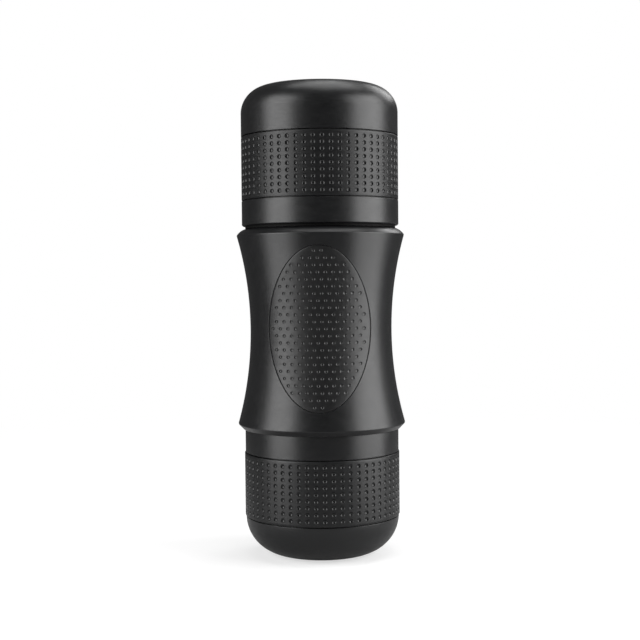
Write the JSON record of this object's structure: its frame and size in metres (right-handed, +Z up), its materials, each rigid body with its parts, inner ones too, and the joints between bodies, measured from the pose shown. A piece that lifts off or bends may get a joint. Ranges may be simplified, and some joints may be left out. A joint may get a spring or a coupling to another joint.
{
  "type": "handheld manual espresso maker",
  "caption": "Slim black handheld espresso maker: waisted body with a side piston pump, screw-on water tank, outlet head with filter basket, and a cup that caps the end.",
  "frame": {"origin": "centre of the cup's foot, on the surface that the closed maker stands on", "axes": "+Z up the body's axis to the water tank, -Y out of the grip pad, +Y to the pump's branch"},
  "size_m": [0.0624, 0.0889, 0.175],
  "materials": {
    "charcoal_plastic": "satin moulded, fine grain",
    "sleeve_plastic": "satin with moulded texture",
    "grip_rubber": "satin soft-touch with dimples",
    "gloss_plastic": "gloss",
    "core_plastic": "satin",
    "silicone": "matt",
    "steel": "brushed",
    "spring_steel": "drawn wire"
  },
  "bodies": {
    "cup": {"cup_bowl": "charcoal_plastic", "cup_sleeve": "sleeve_plastic"},
    "head": {"outlet_head": "charcoal_plastic", "spout_insert": "gloss_plastic", "head_seal": "silicone"},
    "basket": {"filter_basket": "steel", "basket_gasket": "silicone"},
    "main": {"body_shell": "charcoal_plastic", "grip_pad": "grip_rubber", "brew_neck": "gloss_plastic", "dispersion_screen": "steel", "screen_screw": "steel", "pump_manifold": "core_plastic", "manifold_screws": "steel", "outlet_valve": "silicone", "inlet_valve": "silicone", "valve_plug": "core_plastic", "inlet_tube": "silicone", "branch_shell": "charcoal_plastic", "guide_bush": "gloss_plastic", "pump_barrel": "core_plastic", "barrel_seal": "silicone", "piston_spring": "spring_steel", "tank_seat": "core_plastic", "gap_ring": "gloss_plastic"},
    "piston": {"piston_rod": "gloss_plastic", "piston_seals": "silicone"},
    "knob": {"piston_knob": "charcoal_plastic"},
    "tank": {"tank_shell": "charcoal_plastic", "tank_sleeve": "sleeve_plastic", "tank_gasket": "silicone"}
  },
  "joints": [
    {"name": "cup_release", "type": "slide", "parent": "cup", "child": "head", "axis": [0, 0, 1], "range_m": [0, 0.06]},
    {"name": "basket_release", "type": "slide", "parent": "head", "child": "basket", "axis": [0, 0, 1], "range_m": [0, 0.025]},
    {"name": "head_release", "type": "slide", "parent": "basket", "child": "main", "axis": [0, 0, 1], "range_m": [0, 0.03]},
    {"name": "tank_release", "type": "slide", "parent": "main", "child": "tank", "axis": [0, 0, 1], "range_m": [0, 0.03]},
    {"name": "pump_stroke", "type": "slide", "parent": "main", "child": "piston", "axis": [0, 0.8192, 0.5736], "range_m": [0, 0.026], "deforming": ["piston_spring"]},
    {"name": "knob_turn", "type": "hinge", "parent": "piston", "child": "knob", "pos_m": [0, 0.04735, 0.10725], "axis": [0, 0.8192, 0.5736], "range_deg": [0, 60]}
  ]
}
